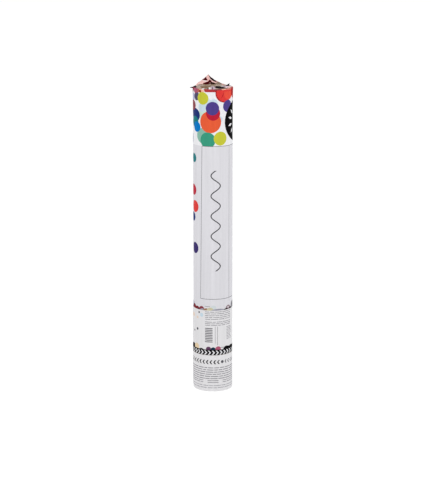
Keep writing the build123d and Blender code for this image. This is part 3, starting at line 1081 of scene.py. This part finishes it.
def flap_piece(number):
    """Crumpled flap of foil, split along its patches of painted highlight, reflection and shade, with its ear
    where it has one.
    """
    luck = random.Random(FLAP_SEED + number)
    middle, along, upward = flap_axes(number)
    half_width = (rim_corner(number) - rim_corner(number - 1)).length / 2
    left, right = Vector((-half_width, 0)), Vector((half_width, 0))
    tip = Vector(((PEAK - middle).dot(along), (PEAK - middle).dot(upward)))
    edges = triangle_sides([left, right, tip])
    outline = [Vector((half_width * (2 * k / FOLD_STEPS - 1), 0)) for k in range(FOLD_STEPS + 1)]
    outline += [right.lerp(tip, k / SIDE_STEPS) for k in range(1, SIDE_STEPS + 1)]
    outline += [tip.lerp(left, k / SIDE_STEPS) for k in range(1, SIDE_STEPS)]
    layers = [("blush", outline)]
    for foil, patch in flap_patches(number, half_width, tip, luck):
        kept = cut_to(patch, edges)
        if abs(area(kept)) > SMALLEST_PATCH:
            layers.append((foil, turned_left(kept)))
    placed, triangles, foils = split_sheet(facet_points(half_width, tip, edges, luck), layers)
    corners = [crumpled(middle + along * place.x + upward * place.y) for place in placed]
    for foil, ear in EARS.get(number, []):
        triangles += fan(ear, len(corners))
        foils += [foil] * len(fan(ear))
        corners += [Vector((x, y, RIM_HEIGHT + rise)) for x, y, rise in ear]
    corners, triangles = used_only(corners, triangles)
    slots = [foil_order.index(foil) for foil in foils]
    made = piece("foil_flap_%d_crumpled" % number, corners, triangles, list(foil_materials.values()), slots,
                 "flap_%d" % number)
    rippled(made)
    thicken(made, FOIL_THICKNESS, len(foil_order))
    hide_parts("foil_flap_%d" % number)


def tail_piece():
    """Torn end of film that stands out from the rim between two flaps."""
    corners = [Vector((x, y, RIM_HEIGHT + rise)) for x, y, rise in TAIL]
    faces = fan(TAIL)
    made = piece("film_tail", corners, faces, [foil_materials["dark"]], [0] * len(faces), "barrel",
                 smooth=False)
    thicken(made, FOIL_THICKNESS)


for flap_number in range(1, FLAP_COUNT + 1):
    flap_piece(flap_number)
tail_piece()


# Paper discs

def paper_disc(middle, radius, tilt, turn, cup):
    """Points and faces of a thin paper disc, slightly cupped and tilted."""
    points = []
    faces = []
    lean = Matrix.Rotation(tilt, 3, Vector((math.cos(turn), math.sin(turn), 0)))
    rings = [(0.0, 1), (DISC_RING, DISC_SIDES), (1.0, DISC_SIDES)]
    for side in (1, 0):
        for share, count in rings:
            for k in range(count):
                step = math.tau * k / count
                rise = cup * share * share * math.cos(2 * step + turn) + PAPER_THICKNESS * side
                flat = Vector((radius * share * math.cos(step), radius * share * math.sin(step), rise))
                points.append(middle + lean @ flat)
    top, bottom = 0, 1 + 2 * DISC_SIDES
    for k in range(DISC_SIDES):
        after = (k + 1) % DISC_SIDES
        inner, outer = 1 + k, 1 + DISC_SIDES + k
        inner_after, outer_after = 1 + after, 1 + DISC_SIDES + after
        faces += [
            (top, inner, inner_after),
            (inner, outer, outer_after, inner_after),
            (bottom, bottom + inner_after, bottom + inner),
            (bottom + inner, bottom + inner_after, bottom + outer_after, bottom + outer),
            (outer, bottom + outer, bottom + outer_after, outer_after),
        ]
    return points, faces


def confetti_piece(colour_number, colour):
    """One colour's three piles of loose paper discs."""
    luck = random.Random(CONFETTI_SEED + colour_number)
    stack_height = (STACKS_HIGH - STACKS_LOW) / len(CONFETTI_SHADES)
    touching_radius = WAD_RADIUS / (1 + 1 / math.sin(math.pi / COLUMN_COUNT))
    column_radius = WAD_RADIUS - touching_radius
    step = stack_height / DISCS_PER_STACK
    points = []
    faces = []
    for column in range(COLUMN_COUNT):
        angle = math.radians(90 + 360 / COLUMN_COUNT * column)
        layer = (colour_number + COLUMN_STEP * column) % len(CONFETTI_SHADES)
        low = STACKS_LOW + layer * stack_height
        for number in range(DISCS_PER_STACK):
            aside = [luck.uniform(-LARGEST_SHIFT, LARGEST_SHIFT) for axis in "xy"]
            shift = Vector((*aside, low + step * (number + DISC_SEAT)))
            middle = Vector((column_radius * math.cos(angle), column_radius * math.sin(angle), 0)) + shift
            tilt = math.radians(luck.uniform(0, LARGEST_TILT))
            turn = luck.uniform(0, LARGEST_TURN)
            cup = luck.uniform(0.0, LARGEST_CUP)
            more, sides = paper_disc(middle, touching_radius - DISC_GAP, tilt, turn, cup)
            faces += [tuple(index + len(points) for index in side) for side in sides]
            points += more
    made = piece("confetti_%s_discs" % colour, points, faces, [paper_materials[colour]], [0] * len(faces),
                 "charge", smooth=False)
    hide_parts("confetti_" + colour)


for colour_number, colour in enumerate(CONFETTI_SHADES):
    confetti_piece(colour_number, colour)


# Materials of the frame's own nodes

for subpart in frame["record"]["subparts"]:
    if subpart["material_slot"] in cad_materials:
        mesh = frame["nodes"][subpart["node"]].data
        mesh.materials.clear()
        mesh.materials.append(cad_materials[subpart["material_slot"]])


# Stage, light and camera

def looking_rays(tree):
    """One for rays that see the background: straight, reflected or through glass."""
    rays = add_node(tree, "ShaderNodeLightPath").outputs
    bounced = worked_out(tree, "MAXIMUM", rays["Is Glossy Ray"], rays["Is Transmission Ray"])
    return worked_out(tree, "MAXIMUM", rays["Is Camera Ray"], bounced)


def floor_material():
    """Floor that reads as white to the camera and in reflections, and takes the shadow."""
    material, tree, shader = new_material("floor_white", {
        "Base Color": FLOOR_COLOUR, "Roughness": 0.9, "Specular IOR Level": 0.0})
    glow = add_node(tree, "ShaderNodeEmission", {"Color": WHITE_LIGHT, "Strength": FLOOR_GLOW})
    share = worked_out(tree, "MULTIPLY", looking_rays(tree), FLOOR_GLOW_SHARE)
    mixed = add_node(tree, "ShaderNodeMixShader", {0: share, 1: shader.outputs[0], 2: glow.outputs[0]})
    tree.links.new(mixed.outputs[0], tree.nodes["Material Output"].inputs["Surface"])
    return material


def floor():
    """Wide floor just under the base."""
    mesh = bpy.data.meshes.new("floor")
    reach = FLOOR_SIZE / 2
    corners = [(-reach, -reach), (reach, -reach), (reach, reach), (-reach, reach)]
    mesh.from_pydata([(x, y, FLOOR_HEIGHT) for x, y in corners], [], [(0, 1, 2, 3)])
    mesh.materials.append(floor_material())
    added("floor", mesh)


def world_light():
    """Even light from all round, and a plain white background."""
    world = bpy.data.worlds.new("studio")
    bpy.context.scene.world = world
    world.use_nodes = True
    tree = world.node_tree
    background = tree.nodes["Background"]
    background.inputs["Color"].default_value = WHITE_LIGHT
    shown = add_node(tree, "ShaderNodeMix", {0: looking_rays(tree), 2: WORLD_STRENGTH, 3: 1.0})
    tree.links.new(shown.outputs[0], background.inputs["Strength"])


def area_lamp(name, place, power):
    """Square soft lamp that points at the popper."""
    lamp = bpy.data.lights.new(name, "AREA")
    lamp.energy = power
    lamp.size = LAMP_SIZE
    made = added(name, lamp)
    made.location = place
    made.rotation_euler = (CAMERA_TARGET - Vector(place)).to_track_quat("-Z", "Y").to_euler()


def camera():
    """Camera as fitted to the photograph."""
    data = bpy.data.cameras.new("camera")
    data.lens = CAMERA_LENS
    made = added("camera", data)
    back = Vector((0, -math.cos(CAMERA_ELEVATION), math.sin(CAMERA_ELEVATION)))
    made.location = CAMERA_TARGET + back * CAMERA_DISTANCE
    made.rotation_euler = (-back).to_track_quat("-Z", "Y").to_euler()
    bpy.context.scene.camera = made


floor()
world_light()
for lamp_name, lamp_place, lamp_power in LAMPS:
    area_lamp(lamp_name, lamp_place, lamp_power)
camera()
bpy.context.scene.view_settings.view_transform = "Standard"
